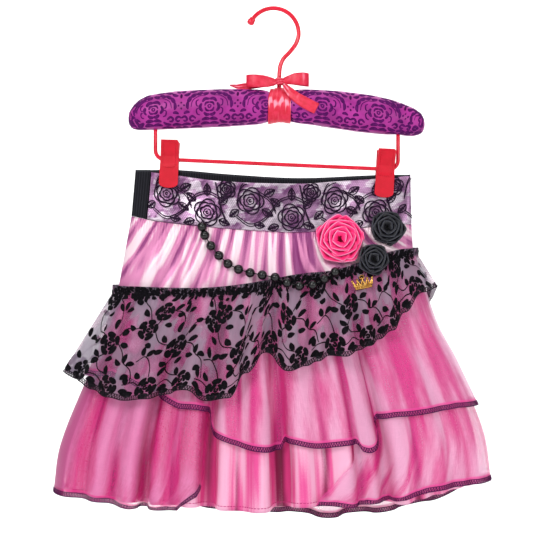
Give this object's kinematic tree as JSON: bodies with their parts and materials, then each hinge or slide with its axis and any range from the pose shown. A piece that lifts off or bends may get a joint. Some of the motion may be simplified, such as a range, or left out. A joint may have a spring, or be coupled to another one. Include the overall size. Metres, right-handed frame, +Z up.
{
  "type": "layered skirt on padded clip hanger",
  "caption": "Child's layered party skirt with lace yoke, sheer ruffle, ribbon roses and bead swag, held by clips on a padded hanger.",
  "frame": {"origin": "inside of the hook's crown, where a rail carries the hanger", "axes": "+Z up along the hanging line, -Y towards the skirt's front, +X to the right seen from the front"},
  "size_m": [0.4482, 0.1185, 0.5294],
  "materials": {
    "mauve_satin": "metallic satin",
    "black_lace": "matt lace",
    "black_elastic": "matt ribbed",
    "pale_metallic": "metallic satin",
    "pink_satin": "satin",
    "pink_organza": "sheer",
    "flocked_organza": "sheer with flock",
    "black_bead": "gloss",
    "pink_ribbon": "satin ribbon",
    "black_ribbon": "satin ribbon",
    "gold_metal": "polished",
    "red_coating": "gloss coating",
    "red_plastic": "gloss",
    "damask_pad": "satin with flock",
    "coral_ribbon": "satin ribbon"
  },
  "bodies": {
    "root": {"yoke_front": "mauve_satin", "yoke_lace": "black_lace", "waist_elastic": "black_elastic", "hip_front": "pale_metallic", "hip_back": "pale_metallic", "underskirt_front": "pink_satin", "underskirt_back": "pink_satin", "overskirt_long_left": "pink_organza", "overskirt_long_right": "pink_organza", "overskirt_long_back": "pink_organza", "overskirt_short_front": "pink_organza", "overskirt_short_back": "pink_organza", "ruffle_front": "flocked_organza", "ruffle_back": "flocked_organza", "bead_swag": "black_bead", "rose_pink": "pink_ribbon", "rose_black_upper": "black_ribbon", "rose_black_lower": "black_ribbon", "crown_charm": "gold_metal", "hanger_hook": "red_coating", "hanger_pad": "damask_pad", "ribbon_wrap": "coral_ribbon", "bow_knot": "coral_ribbon", "bow_loop_left": "coral_ribbon", "bow_loop_right": "coral_ribbon", "bow_tail_left": "coral_ribbon", "bow_tail_right": "coral_ribbon", "hanger_bar": "red_coating", "clip_left_front": "red_plastic", "clip_left_back": "red_plastic", "clip_right_front": "red_plastic", "clip_right_back": "red_plastic"}
  },
  "joints": []
}
